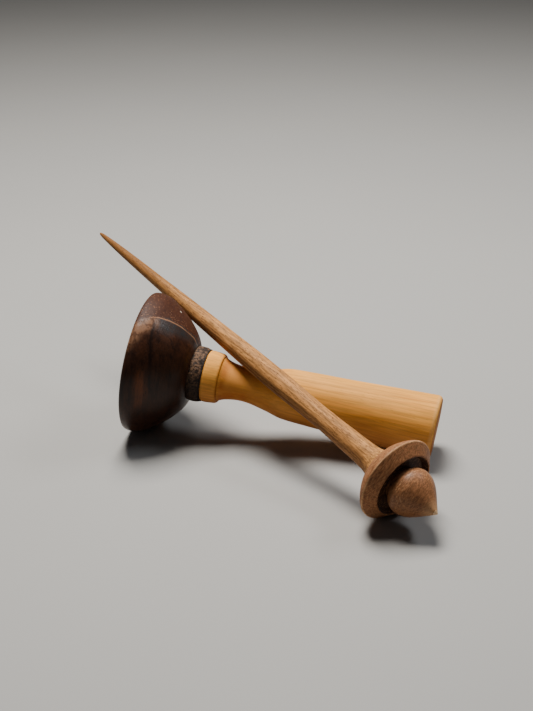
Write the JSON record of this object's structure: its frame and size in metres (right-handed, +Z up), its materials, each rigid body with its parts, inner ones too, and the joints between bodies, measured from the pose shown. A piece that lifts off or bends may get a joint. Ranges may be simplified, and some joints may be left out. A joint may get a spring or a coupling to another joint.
{
  "type": "supported spindle with spinning bowl",
  "caption": "Turned wooden supported spindle with a long tapered shaft, saucer whorl and onion finial, leaning on a handled spinning bowl that lies on its side.",
  "frame": {"origin": "centre of the bounding box in plan, on the surface that the set lies on", "axes": "+Z up; +Y away from the front; the bowl's mouth faces -X and the handle points to +X and a little to -Y; the spindle lies across it, its point towards +X and -Y and its fine end up at -X and +Y"},
  "size_m": [0.187, 0.211, 0.0772],
  "materials": {
    "bowl_wood": "dark walnut, turned and oiled, satin",
    "collar_wood": "dark, rough and unpolished",
    "handle_wood": "honey-coloured, turned and oiled, satin",
    "shaft_wood": "light brown walnut, turned, matt",
    "whorl_wood": "brown walnut, turned, satin",
    "finial_wood": "brown walnut, turned, satin",
    "point_wood": "pale and hard, polished by use"
  },
  "bodies": {
    "handled_bowl": {"bowl": "bowl_wood", "collar": "collar_wood", "handle": "handle_wood"},
    "spindle_point": {"point": "point_wood"},
    "spindle": {"shaft": "shaft_wood", "whorl": "whorl_wood", "finial": "finial_wood"}
  },
  "joints": [
    {"name": "spindle_lift", "type": "slide", "parent": "handled_bowl", "child": "spindle_point", "axis": [0, 0, 1], "range_m": [0, 0.15]},
    {"name": "spindle_spin", "type": "hinge", "parent": "spindle_point", "child": "spindle", "pos_m": [0.07988, -0.10425, 0.01544], "axis": [0.6213, -0.7521, -0.2198], "continuous": true}
  ]
}
